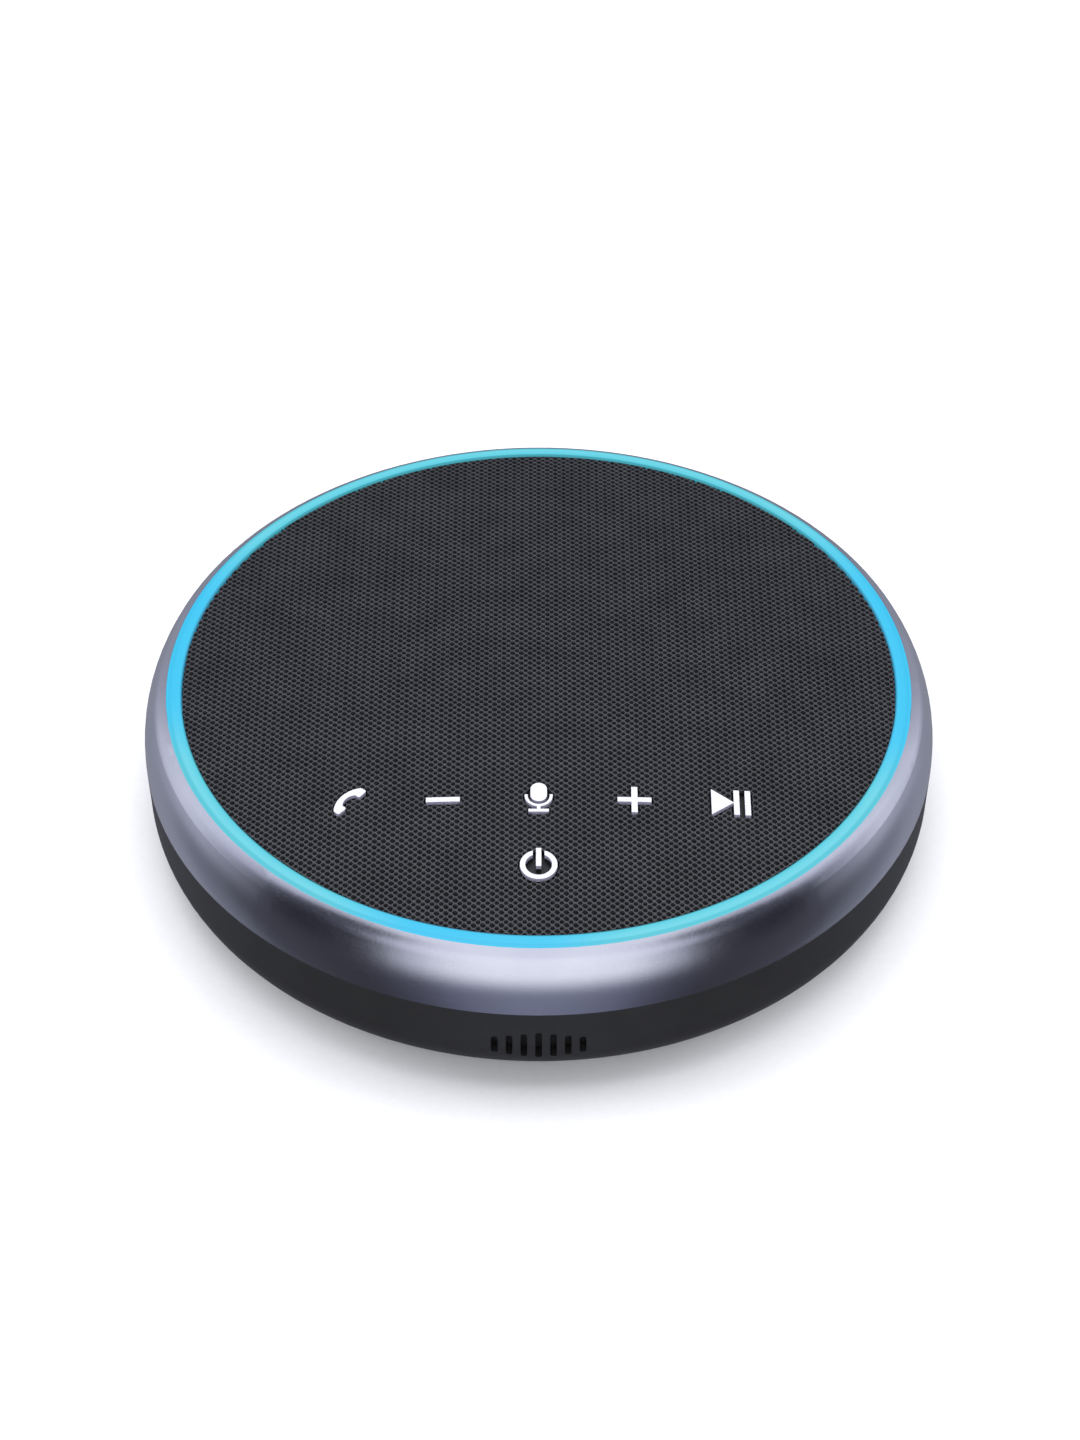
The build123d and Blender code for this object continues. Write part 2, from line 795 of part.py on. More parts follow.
with BuildPart() as grille_frame:
    with BuildSketch(Plane.XY.offset(carrier_bottom_z)):
        Circle(grille_radius)
        Circle(carrier_inner_radius, mode=Mode.SUBTRACT)
    extrude(amount=high_z - carrier_bottom_z)
    add(under_dome(-skin_thickness), mode=Mode.INTERSECT)
    with BuildSketch(Plane.XY.offset(deck_top_z)):
        with PolarLocations(carrier_leg_circle, carrier_leg_count, carrier_leg_angle):
            Rectangle(carrier_leg_radial, carrier_leg_tangential)
    extrude(amount=carrier_bottom_z - deck_top_z)
    with BuildSketch(Plane.XY.offset(carrier_bottom_z)):
        with PolarLocations(microphone_radius, microphone_count, microphone_angle):
            Circle(carrier_sound_hole_radius)
    extrude(amount=high_z - carrier_bottom_z, mode=Mode.SUBTRACT)
save(grille_frame, "grille_frame")

# ---------------------------------------------------------------- boards under the grille

with BuildPart() as led_board:
    with BuildSketch(Plane.XY.offset(board_ledge_z)):
        Circle(led_board_outer_radius)
        Circle(led_board_inner_radius, mode=Mode.SUBTRACT)
    extrude(amount=board_thickness)
save(led_board, "led_board")

with BuildPart() as leds:
    with BuildSketch(Plane.XY.offset(upper_board_top_z)):
        with PolarLocations(led_radius, led_count):
            Rectangle(led_radial, led_tangential)
    extrude(amount=led_height)
save(leds, "leds")

with BuildPart() as key_board:
    with BuildSketch(Plane.XY.offset(board_ledge_z)):
        Circle(key_board_radius)
        with Locations((0, key_board_back_y - key_board_radius / 2)):
            Rectangle(2 * key_board_half_width, key_board_radius, mode=Mode.INTERSECT)
        with Locations(*key_board_screw_places):
            Circle(small_clearance_radius, mode=Mode.SUBTRACT)
    extrude(amount=board_thickness)
save(key_board, "key_board")

with BuildPart() as led_jumper:
    with BuildSketch(Plane.XY.offset(upper_board_top_z)):
        with Locations((0, (jumper_inner_y + jumper_outer_y) / 2)):
            RectangleRounded(jumper_width, jumper_inner_y - jumper_outer_y, jumper_corner)
    extrude(amount=jumper_thickness)
save(led_jumper, "led_jumper")

with BuildPart() as microphones:
    with BuildSketch(Plane.XY.offset(upper_board_top_z)):
        with PolarLocations(microphone_radius, microphone_count, microphone_angle):
            Rectangle(microphone_radial, microphone_tangential)
    extrude(amount=microphone_height)
    with BuildSketch(Plane.XY.offset(upper_board_top_z + microphone_height)):
        with PolarLocations(microphone_radius, microphone_count, microphone_angle):
            Circle(microphone_port_radius)
    extrude(amount=-microphone_port_depth, mode=Mode.SUBTRACT)
save(microphones, "microphones")

with BuildPart() as microphone_boots:
    boot_inner_radial = microphone_radial + 2 * boot_fit
    boot_inner_tangential = microphone_tangential + 2 * boot_fit
    boot_outer_radial = boot_inner_radial + 2 * boot_wall
    boot_outer_tangential = boot_inner_tangential + 2 * boot_wall
    with BuildSketch(Plane.XY.offset(upper_board_top_z)):
        with PolarLocations(microphone_radius, microphone_count, microphone_angle):
            RectangleRounded(boot_outer_radial, boot_outer_tangential, boot_corner)
    extrude(amount=boot_height)
    with BuildSketch(Plane.XY.offset(upper_board_top_z)):
        with PolarLocations(microphone_radius, microphone_count, microphone_angle):
            Rectangle(boot_inner_radial, boot_inner_tangential)
    extrude(amount=microphone_height + boot_fit, mode=Mode.SUBTRACT)
    with BuildSketch(Plane.XY.offset(upper_board_top_z)):
        with PolarLocations(microphone_radius, microphone_count, microphone_angle):
            Circle(sound_hole_radius)
    extrude(amount=boot_height, mode=Mode.SUBTRACT)
save(microphone_boots, "microphone_boots")

# ---------------------------------------------------------------- speaker driver


def revolved_driver_piece(name, outline):
    """Ring about the driver's axis, from a closed outline of radius and height."""
    with BuildPart() as piece:
        with BuildSketch(driver_section):
            with BuildLine():
                Polyline(*outline, close=True)
            make_face()
        revolve(axis=driver_axis)
    save(piece, name)


basket_foot_radius = 15.0
basket_wall = 0.8
basket_gap = 0.2
basket_magnet_gap = 0.4
basket_window_circle = driver_hole_radius - 1.0
basket_window_width = 9.0
basket_window_radial = 6.0
basket_window_height = 4.0
basket_window_count = 6
surround_lip_radius = 18.5
with BuildPart() as driver_frame:
    with BuildSketch(driver_section):
        with BuildLine():
            Polyline(
                (driver_flange_radius, driver_flange_top_z),
                (driver_flange_radius, driver_flange_bottom_z),
                (driver_hole_radius - basket_gap, driver_flange_bottom_z),
                (basket_foot_radius + basket_wall / 2, basket_bottom_z),
                (gap_outer_radius + basket_magnet_gap, basket_bottom_z),
                (gap_outer_radius + basket_magnet_gap, basket_bottom_z + basket_wall),
                (basket_foot_radius - basket_wall / 2, basket_bottom_z + basket_wall),
                (driver_hole_radius - basket_gap - basket_wall, driver_flange_top_z),
                close=True,
            )
        make_face()
    revolve(axis=driver_axis)
    # Windows in the basket's wall
    with BuildSketch(Plane.XY.offset(basket_bottom_z + 2 * basket_wall)):
        with Locations((0, driver_y)):
            with PolarLocations(basket_window_circle, basket_window_count):
                Rectangle(basket_window_radial, basket_window_width)
    extrude(amount=basket_window_height, mode=Mode.SUBTRACT)
    with Locations((0, driver_y, driver_flange_top_z)):
        with PolarLocations(driver_screw_circle, driver_screw_count, start_angle=driver_screw_angle):
            Hole(small_clearance_radius)
save(driver_frame, "driver_frame")

with BuildPart() as driver_gasket:
    with BuildSketch(Plane.XY.offset(baffle_ring_top_z)):
        with Locations((0, driver_y)):
            Circle(driver_flange_radius)
            Circle(driver_hole_radius + basket_gap, mode=Mode.SUBTRACT)
            with PolarLocations(driver_screw_circle, driver_screw_count, start_angle=driver_screw_angle):
                Circle(small_clearance_radius, mode=Mode.SUBTRACT)
    extrude(amount=driver_flange_bottom_z - baffle_ring_top_z)
save(driver_gasket, "driver_gasket")

revolved_driver_piece(
    "driver_top_plate",
    [
        (gap_outer_radius, magnet_top_z),
        (plate_radius, magnet_top_z),
        (plate_radius, basket_bottom_z),
        (gap_outer_radius, basket_bottom_z),
    ],
)
revolved_driver_piece(
    "driver_magnet",
    [
        (magnet_inner_radius, magnet_bottom_z),
        (magnet_outer_radius, magnet_bottom_z),
        (magnet_outer_radius, magnet_top_z),
        (magnet_inner_radius, magnet_top_z),
    ],
)
revolved_driver_piece(
    "driver_yoke",
    [
        (0, yoke_bottom_z),
        (plate_radius, yoke_bottom_z),
        (plate_radius, magnet_bottom_z),
        (pole_radius, magnet_bottom_z),
        (pole_radius, basket_bottom_z),
        (0, basket_bottom_z),
    ],
)
revolved_driver_piece(
    "voice_coil",
    [
        (coil_inner_radius, coil_bottom_z),
        (coil_outer_radius, coil_bottom_z),
        (coil_outer_radius, coil_top_z),
        (coil_inner_radius, coil_top_z),
    ],
)
cone_neck_z = 20.2
cone_start_z = 20.8
cone_lip_thickness = 0.4
cone_lip_width = 1.35
cone_lip_width_below = 1.17
cone_start_wall = 0.53
cone_neck_wall = 0.4
revolved_driver_piece(
    "driver_cone",
    [
        (coil_outer_radius, cone_neck_z),
        (coil_outer_radius, cone_start_z),
        (cone_rim_radius - cone_lip_width, driver_flange_top_z),
        (cone_rim_radius, driver_flange_top_z),
        (cone_rim_radius, driver_flange_top_z - cone_lip_thickness),
        (cone_rim_radius - cone_lip_width_below, driver_flange_top_z - cone_lip_thickness),
        (coil_outer_radius + cone_start_wall, cone_start_z),
        (coil_outer_radius + cone_neck_wall, cone_neck_z),
    ],
)

dust_cap_height = 2.2
dust_cap_thickness = 0.2
dust_cap_radius = (coil_outer_radius**2 + (dust_cap_height - dust_cap_thickness) ** 2) / (
    2 * (dust_cap_height - dust_cap_thickness)
)
with BuildPart() as driver_dust_cap:
    with BuildSketch(driver_section):
        with BuildLine():
            cap_centre_z = coil_top_z + dust_cap_height - dust_cap_radius
            cap_angle = degrees(asin(coil_outer_radius / dust_cap_radius))
            CenterArc((0, cap_centre_z), dust_cap_radius, 90 - cap_angle, cap_angle)
            Line((0, coil_top_z + dust_cap_height), (0, coil_top_z + dust_cap_height - dust_cap_thickness))
            CenterArc((0, cap_centre_z), dust_cap_radius - dust_cap_thickness, 90 - cap_angle, cap_angle)
            inner_share = (dust_cap_radius - dust_cap_thickness) / dust_cap_radius
            cap_edge_z = cap_centre_z + dust_cap_radius * cos(radians(cap_angle))
            Line(
                (coil_outer_radius, cap_edge_z),
                (
                    coil_outer_radius * inner_share,
                    cap_centre_z + dust_cap_radius * inner_share * cos(radians(cap_angle)),
                ),
            )
        make_face()
    revolve(axis=driver_axis)
save(driver_dust_cap, "driver_dust_cap")

with BuildPart() as driver_surround:
    surround_z = driver_flange_top_z
    lip_z = surround_z + surround_thickness / 2
    inner_lip_start = cone_rim_radius - surround_overlap
    roll_mid = surround_roll_centre
    roll_in = surround_roll_radius - surround_thickness
    with BuildSketch(driver_section):
        with Locations((roll_mid, surround_z)):
            Circle(surround_roll_radius)
            Circle(roll_in, mode=Mode.SUBTRACT)
            with Locations((0, -surround_roll_radius)):
                Rectangle(2 * surround_roll_radius, 2 * surround_roll_radius, mode=Mode.SUBTRACT)
        with Locations(((roll_mid + roll_in + surround_lip_radius) / 2, lip_z)):
            Rectangle(surround_lip_radius - roll_mid - roll_in, surround_thickness)
        with Locations(((inner_lip_start + roll_mid - roll_in) / 2, lip_z)):
            Rectangle(roll_mid - roll_in - inner_lip_start, surround_thickness)
    revolve(axis=driver_axis)
save(driver_surround, "driver_surround")

spider_outer_radius = 13.2
spider_thickness = 0.2
spider_waves = 3
spider_wave_end = spider_outer_radius - 1.2
spider_foot_start = spider_outer_radius - 1.0
spider_inner = coil_outer_radius
spider_ledge_z = basket_bottom_z + basket_wall
wave_length = (spider_wave_end - spider_inner) / spider_waves
spider_crest = 0.9
spider_trough = 0.3
spider_crests = [(spider_inner, spider_ledge_z + (spider_crest + spider_trough) / 2)]
for wave in range(spider_waves):
    spider_crests.append((spider_inner + (wave + 0.25) * wave_length, spider_ledge_z + spider_crest))
    spider_crests.append((spider_inner + (wave + 0.75) * wave_length, spider_ledge_z + spider_trough))
spider_crests.append((spider_foot_start, spider_ledge_z))
spider_crests.append((spider_outer_radius, spider_ledge_z))
revolved_driver_piece(
    "driver_spider",
    spider_crests + [(r, z + spider_thickness) for r, z in reversed(spider_crests)],
)

terminal_width = 6.0
terminal_height = 2.6
terminal_depth = 1.3
terminal_gap = 0.2
terminal_y = driver_y - magnet_outer_radius - terminal_gap - terminal_depth / 2
with BuildPart() as driver_terminals:
    with BuildSketch(Plane.XY.offset(basket_bottom_z - terminal_height)):
        with Locations((0, terminal_y)):
            Rectangle(terminal_width, terminal_depth)
    extrude(amount=terminal_height)
save(driver_terminals, "driver_terminals")

# ---------------------------------------------------------------- main board and what stands on it

board_notch_gap = 0.7
with BuildPart() as main_board:
    with BuildSketch(Plane.XY.offset(main_board_bottom_z)):
        Circle(main_board_radius)
        with Locations((0, main_board_front_y + main_board_radius / 2)):
            Rectangle(2 * main_board_half_width, main_board_radius, mode=Mode.INTERSECT)
        with Locations(*main_board_screw_places):
            Circle(small_clearance_radius, mode=Mode.SUBTRACT)
        with PolarLocations(housing_screw_circle, housing_screw_count, start_angle=housing_screw_angle):
            Circle(housing_column_radius + board_notch_gap, mode=Mode.SUBTRACT)
    extrude(amount=main_board_thickness)
save(main_board, "main_board")

ribbon_connector_y = 7.5
key_connector_y = -26.5
key_connector_height = 0.7
main_connector_height = 1.2
battery_connector_place = (-14.0, 6.0)
battery_connector_size = (6.0, 4.0, 2.8)
speaker_connector_place = (0.0, 5.5)
speaker_connector_size = (5.0, 4.0, 2.0)

chip("processor", width=9.0, depth=9.0, height=1.0, places=[(-22.0, 20.0)])
chip("wireless_module", width=13.0, depth=10.0, height=2.0, places=[(26.0, 16.0)])
chip("amplifier_chip", width=6.0, depth=6.0, height=1.0, places=[(-6.0, 38.0)])
chip("inductors", width=5.0, depth=5.0, height=2.8, places=[(-15.0, 32.0), (-15.0, 39.0)], edge=inductor_edge)
chip("battery_connector", *battery_connector_size, places=[battery_connector_place])
chip("speaker_connector", *speaker_connector_size, places=[speaker_connector_place])

with BuildPart() as capacitors:
    with BuildSketch(Plane.XY.offset(main_board_top_z)):
        with Locations(*capacitor_places):
            Circle(capacitor_radius)
    extrude(amount=capacitor_height)
    fillet(capacitors.edges().group_by(Axis.Z)[-1], capacitor_fillet)
save(capacitors, "capacitors")

with BuildPart() as ribbon_connectors:
    with BuildSketch(Plane.XY.offset(main_board_top_z)):
        with Locations((ribbon_x, ribbon_connector_y)):
            Rectangle(connector_width, connector_depth)
    extrude(amount=main_connector_height)
    with BuildSketch(Plane.XY.offset(board_ledge_z)):
        with Locations((ribbon_x, key_connector_y)):
            Rectangle(connector_width, connector_depth)
    extrude(amount=-key_connector_height)
save(ribbon_connectors, "ribbon_connectors")

with BuildPart() as usb_c_port:
    usb_back = Plane.XZ.offset(-(usb_mouth_y - usb_length))
    with BuildSketch(usb_back):
        with Locations((usb_x, usb_centre_z)):
            SlotOverall(usb_width, usb_height)
    extrude(amount=-usb_length)
    with BuildSketch(Plane.XZ.offset(-usb_mouth_y)):
        with Locations((usb_x, usb_centre_z)):
            SlotOverall(usb_width - 2 * usb_shell, usb_height - 2 * usb_shell)
    extrude(amount=usb_length - usb_back_wall, mode=Mode.SUBTRACT)
    with BuildSketch(usb_back):
        with Locations((usb_x, usb_centre_z)):
            Rectangle(usb_tongue_width, usb_tongue_thickness)
    extrude(amount=-(usb_length - usb_tongue_setback))
save(usb_c_port, "usb_c_port")

with BuildPart() as audio_jack:
    with BuildSketch(Plane.XZ.offset(-jack_back_y)):
        with Locations((jack_x, jack_centre_z)):
            Rectangle(jack_width, jack_height)
    extrude(amount=-(jack_shoulder_y - jack_back_y))
    with BuildSketch(Plane.XZ.offset(-jack_shoulder_y)):
        with Locations((jack_x, jack_centre_z)):
            Circle(jack_nose_radius)
    extrude(amount=-(jack_mouth_y - jack_shoulder_y))
    with BuildSketch(Plane.XZ.offset(-jack_mouth_y)):
        with Locations((jack_x, jack_centre_z)):
            Circle(jack_bore_radius)
    extrude(amount=jack_bore_length, mode=Mode.SUBTRACT)
save(audio_jack, "audio_jack")

# ---------------------------------------------------------------- battery

battery_bottom_z = floor_z + battery_pad_thickness
with BuildPart() as battery:
    with BuildSketch(Plane.XY.offset(battery_bottom_z)):
        with Locations((0, battery_y)):
            RectangleRounded(battery_width, battery_depth, battery_corner)
    extrude(amount=battery_height)
    fillet(battery.edges().group_by(Axis.Z)[-1], battery_fillet)
save(battery, "battery")

with BuildPart() as battery_pad:
    with BuildSketch(Plane.XY.offset(floor_z)):
        with Locations((0, battery_y)):
            RectangleRounded(
                battery_width - 2 * battery_pad_inset,
                battery_depth - 2 * battery_pad_inset,
                battery_corner,
            )
    extrude(amount=battery_pad_thickness)
save(battery_pad, "battery_pad")

# ---------------------------------------------------------------- wires


def make_leads(name, places, route):
    """Round wires side by side, each along the same route of (y, z) points at its own x."""
    radii = tangent_radii(route)
    with BuildPart() as leads:
        for x in places:
            with BuildLine(Plane.YZ.offset(x)) as path:
                FilletPolyline(*route, radius=radii)
            with BuildSketch(Plane(origin=path.line @ 0, z_dir=path.line % 0)):
                Circle(lead_radius)
            sweep(path=path.line)
    save(leads, name)
    lead_section = Circle(lead_radius, mode=Mode.PRIVATE).area
    section_times_length = lead_section * route_length(path) * len(places)
    print(name, "radii", [round(radius, 2) for radius in radii], "length", round(route_length(path), 2))
    print(name, "volume", round(leads.part.volume, 3))
    print(name, "section times length", round(section_times_length, 3))


battery_back_y = battery_y + battery_depth / 2
battery_plug_y = battery_connector_place[1] - battery_connector_size[1] / 2
speaker_plug_y = speaker_connector_place[1] - speaker_connector_size[1] / 2
battery_lead_pitch = 2.0
battery_exit_z = 10.8
battery_exit_run = 3.4
battery_plug_z = 9.7
battery_plug_run = 3.0
speaker_lead_pitch = 2.4
speaker_plug_z = 9.3
make_leads(
    "battery_leads",
    [battery_connector_place[0] + side * battery_lead_pitch / 2 for side in (-1, 1)],
    [
        (battery_back_y, battery_exit_z),
        (battery_back_y + battery_exit_run, battery_exit_z),
        (battery_plug_y - battery_plug_run, battery_plug_z),
        (battery_plug_y, battery_plug_z),
    ],
)
make_leads(
    "speaker_leads",
    [side * speaker_lead_pitch / 2 for side in (-1, 1)],
    [
        (terminal_y, basket_bottom_z - terminal_height),
        (terminal_y, speaker_plug_z),
        (speaker_plug_y, speaker_plug_z),
    ],
)

# The ribbon's (y, z) points: down through the deck, over the battery, then down to the main board
ribbon_top_z = 23.0
ribbon_bottom_z = 8.8
ribbon_route = [
    (key_connector_y + connector_depth / 2, ribbon_top_z),
    (-18.5, ribbon_top_z),
    (-17.5, 15.4),
    (-9.5, 14.0),
    (-3.0, 13.5),
    (-0.2, ribbon_bottom_z),
    (ribbon_connector_y - connector_depth / 2, ribbon_bottom_z),
]
with BuildPart() as ribbon_cable:
    ribbon_radii = tangent_radii(ribbon_route)
    with BuildLine(Plane.YZ.offset(ribbon_x)) as ribbon_path:
        FilletPolyline(*ribbon_route, radius=ribbon_radii)
    with BuildSketch(Plane(origin=ribbon_path.line @ 0, x_dir=(1, 0, 0), z_dir=ribbon_path.line % 0)):
        Rectangle(ribbon_width, ribbon_thickness)
    sweep(path=ribbon_path.line)
save(ribbon_cable, "ribbon_cable")
print("ribbon_cable radii", [round(radius, 2) for radius in ribbon_radii])
print("ribbon_cable length", round(route_length(ribbon_path), 2))
print("ribbon_cable volume", round(ribbon_cable.part.volume, 3))
ribbon_section = ribbon_width * ribbon_thickness
print("ribbon_cable section times length", round(ribbon_section * route_length(ribbon_path), 3))

# ---------------------------------------------------------------- screws

housing_screw = make_screw(
    housing_head_radius, housing_head_height, housing_shank_radius, housing_shank_length
)
board_screw = make_screw(small_head_radius, small_head_height, small_shank_radius, small_shank_length)

with BuildPart() as housing_screws:
    with Locations(Plane(origin=(0, 0, housing_head_seat_z), z_dir=(0, 0, -1))):
        with PolarLocations(housing_screw_circle, housing_screw_count, start_angle=housing_screw_angle):
            add(housing_screw)
save(housing_screws, "housing_screws")

with BuildPart() as main_board_screws:
    for x, y in main_board_screw_places:
        with Locations((x, y, main_board_top_z)):
            add(board_screw)
save(main_board_screws, "main_board_screws")

with BuildPart() as key_board_screws:
    for x, y in key_board_screw_places:
        with Locations((x, y, upper_board_top_z)):
            add(board_screw)
save(key_board_screws, "key_board_screws")

with BuildPart() as driver_screws:
    with Locations((0, driver_y, driver_flange_top_z)):
        with PolarLocations(driver_screw_circle, driver_screw_count, start_angle=driver_screw_angle):
            add(board_screw)
save(driver_screws, "driver_screws")
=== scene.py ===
import json
import math

import bpy
import numpy as np
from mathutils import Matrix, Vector


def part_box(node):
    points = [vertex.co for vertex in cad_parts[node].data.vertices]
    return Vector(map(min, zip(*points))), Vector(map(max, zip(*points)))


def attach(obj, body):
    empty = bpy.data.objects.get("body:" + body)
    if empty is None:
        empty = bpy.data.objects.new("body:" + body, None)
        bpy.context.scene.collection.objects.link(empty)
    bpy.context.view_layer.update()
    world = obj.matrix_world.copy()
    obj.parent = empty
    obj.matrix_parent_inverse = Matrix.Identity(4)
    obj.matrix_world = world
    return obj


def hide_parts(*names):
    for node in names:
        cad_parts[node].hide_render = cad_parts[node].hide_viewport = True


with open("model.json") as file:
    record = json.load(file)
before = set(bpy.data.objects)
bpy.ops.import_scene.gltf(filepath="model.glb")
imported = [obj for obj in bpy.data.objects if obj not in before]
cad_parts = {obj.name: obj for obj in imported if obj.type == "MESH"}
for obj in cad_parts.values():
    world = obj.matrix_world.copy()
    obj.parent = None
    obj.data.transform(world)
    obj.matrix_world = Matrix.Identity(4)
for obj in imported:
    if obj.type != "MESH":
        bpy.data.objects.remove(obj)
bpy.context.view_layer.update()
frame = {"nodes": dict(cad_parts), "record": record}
nodes = frame["nodes"]

MM = 0.001

# ---------------------------------------------------------------- node helpers

NOISE_ROUGHNESS = 0.55
FINE_DETAIL = 3.0
BROAD_DETAIL = 2.0
# Stretch of a noise's values over which a finish passes from its dark tone to its light one
TONE_RANGE = (0.35, 0.65)
# Shares of the fine and the broad noise in a speckled finish, and how much wider the broad one's blobs are
FINE_SHARE = 0.6
BROAD_SHARE = 0.4
BROAD_RATIO = 25
ROUGHNESS_SPREAD = 0.08
GRAIN_DEPTH = 0.01 * MM


def new_material(name):
    """Empty node material with a Principled shader on its output."""
    material = bpy.data.materials.new(name)
    material.use_nodes = True
    tree = material.node_tree
    tree.nodes.clear()
    output = tree.nodes.new("ShaderNodeOutputMaterial")
    shader = tree.nodes.new("ShaderNodeBsdfPrincipled")
    tree.links.new(shader.outputs["BSDF"], output.inputs["Surface"])
    return material, tree, shader


def add_node(tree, kind, values=None, **settings):
    """Node with its settings and the values of its unlinked inputs."""
    node = tree.nodes.new(kind)
    for key, value in settings.items():
        setattr(node, key, value)
    for key, value in (values or {}).items():
        node.inputs[key].default_value = value
    return node


def feed(tree, socket, value):
    """Links another socket's output to an input socket, or gives it a number or a colour."""
    if isinstance(value, bpy.types.NodeSocket):
        tree.links.new(value, socket)
    elif isinstance(value, tuple):
        socket.default_value = (*value, 1.0)
    else:
        socket.default_value = value


def math_node(tree, operation, *values):
    """Math node on sockets or numbers; returns its output socket."""
    node = add_node(tree, "ShaderNodeMath", operation=operation)
    for socket, value in zip(node.inputs, values):
        feed(tree, socket, value)
    return node.outputs[0]


def mix_node(tree, factor, first, second):
    """Mix from the first colour to the second as the factor goes from 0 to 1; returns its result socket."""
    node = add_node(tree, "ShaderNodeMix", data_type="RGBA")
    for name, value in (("Factor", factor), ("A", first), ("B", second)):
        feed(tree, node.inputs[name], value)
    return node.outputs["Result"]


def ramp_node(tree, factor, stops, interpolation="LINEAR"):
    """Colour ramp with (position, colour) stops; returns its colour socket."""
    node = add_node(tree, "ShaderNodeValToRGB")
    ramp = node.color_ramp
    ramp.interpolation = interpolation
    while len(ramp.elements) < len(stops):
        ramp.elements.new(0.5)
    for element, (position, colour) in zip(ramp.elements, stops):
        element.position = position
        element.color = (*colour, 1.0)
    tree.links.new(factor, node.inputs[0])
    return node.outputs["Color"]


def range_node(tree, value, low, high, to_low=0.0, to_high=1.0, smooth=False):
    """Clamped Map Range node; returns its result socket."""
    node = add_node(tree, "ShaderNodeMapRange")
    node.interpolation_type = "SMOOTHSTEP" if smooth else "LINEAR"
    node.clamp = True
    tree.links.new(value, node.inputs["Value"])
    node.inputs["From Min"].default_value = low
    node.inputs["From Max"].default_value = high
    node.inputs["To Min"].default_value = to_low
    node.inputs["To Max"].default_value = to_high
    return node.outputs["Result"]


def axes(tree, vector):
    """The three parts of a vector socket."""
    node = add_node(tree, "ShaderNodeSeparateXYZ")
    tree.links.new(vector, node.inputs[0])
    return node.outputs


def object_point(tree):
    """Position on the piece, in metres in the object's own frame."""
    return add_node(tree, "ShaderNodeTexCoord").outputs["Object"]


def noise(tree, size, detail=FINE_DETAIL):
    """Noise whose blobs are about size metres across; returns its value socket."""
    values = {"Scale": 1.0 / size, "Detail": detail, "Roughness": NOISE_ROUGHNESS}
    node = add_node(tree, "ShaderNodeTexNoise", values)
    tree.links.new(object_point(tree), node.inputs["Vector"])
    return node.outputs["Fac"]


def tones(tree, value, dark, light):
    """Two tones of a finish, spread over a noise; returns their colour socket."""
    return ramp_node(tree, value, list(zip(TONE_RANGE, (dark, light))))


def bump(tree, shader, height, distance):
    """Bump from a height socket, over a depth in metres."""
    node = add_node(tree, "ShaderNodeBump", {"Distance": distance})
    tree.links.new(height, node.inputs["Height"])
    tree.links.new(node.outputs["Normal"], shader.inputs["Normal"])


def speckled(name, dark, light, grain, roughness, depth=GRAIN_DEPTH, metallic=0.0):
    """Moulded, coated or cast finish: two near tones in a fine grain.

    The roughness and the bump follow the same grain.
    """
    material, tree, shader = new_material(name)
    fine = noise(tree, grain)
    broad = noise(tree, grain * BROAD_RATIO, BROAD_DETAIL)
    fine_part = math_node(tree, "MULTIPLY", fine, FINE_SHARE)
    broad_part = math_node(tree, "MULTIPLY", broad, BROAD_SHARE)
    mixed = math_node(tree, "ADD", fine_part, broad_part)
    half_spread = ROUGHNESS_SPREAD / 2
    rough = range_node(tree, mixed, *TONE_RANGE, roughness - half_spread, roughness + half_spread)
    tree.links.new(tones(tree, mixed, dark, light), shader.inputs["Base Color"])
    tree.links.new(rough, shader.inputs["Roughness"])
    shader.inputs["Metallic"].default_value = metallic
    bump(tree, shader, fine, depth)
    return material


# ---------------------------------------------------------------- camera, light and stage

# Camera that shows the ring's ellipses, the outline and the seam as the photograph does.
# It aims at the middle of the ring's plane, apart from a small drop and pan.
RING_PLANE_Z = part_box("light_ring")[1].z
VIEW_ELEVATION = math.radians(41.94)
VIEW_DISTANCE = 0.6034
VIEW_DROP = 6.39 * MM
VIEW_PAN = 0.2 * MM
LENS = 95.75
SENSOR = 36.0

# Colours of the studio round the object, from the front (0) to the back (1), below, at and above eye level
WORLD_LOW = [
    (0, (0.24, 0.26, 0.34)),
    (0.1, (0.19, 0.2, 0.27)),
    (0.18, (0.08, 0.08, 0.11)),
    (0.26, (0.045, 0.045, 0.055)),
    (0.43, (0.07, 0.07, 0.085)),
    (0.56, (0.2, 0.21, 0.25)),
    (0.68, (0.33, 0.34, 0.4)),
    (1, (0.26, 0.27, 0.31)),
]
WORLD_MIDDLE = [
    (0, (1.22, 1.24, 1.27)),
    (0.12, (1.14, 1.16, 1.2)),
    (0.18, (0.68, 0.7, 0.78)),
    (0.24, (0.025, 0.025, 0.035)),
    (0.395, (0.012, 0.012, 0.02)),
    (0.48, (0.36, 0.37, 0.43)),
    (0.56, (0.82, 0.84, 0.93)),
    (0.66, (0.8, 0.82, 0.91)),
    (0.78, (0.38, 0.39, 0.45)),
    (1, (0.22, 0.23, 0.27)),
]
WORLD_HIGH = [
    (0, (1.22, 1.24, 1.27)),
    (0.13, (1.14, 1.16, 1.2)),
    (0.21, (0.82, 0.84, 0.96)),
    (0.27, (0.04, 0.04, 0.06)),
    (0.42, (0.035, 0.035, 0.05)),
    (0.52, (0.58, 0.6, 0.71)),
    (0.6, (0.94, 0.96, 1.06)),
    (0.7, (0.78, 0.8, 0.9)),
    (0.8, (0.36, 0.37, 0.44)),
    (1, (0.2, 0.21, 0.25)),
]
# Heights of the view direction over which each of them passes into the next
WORLD_STEPS = [(-0.42, 0.02), (0.2, 0.5)]
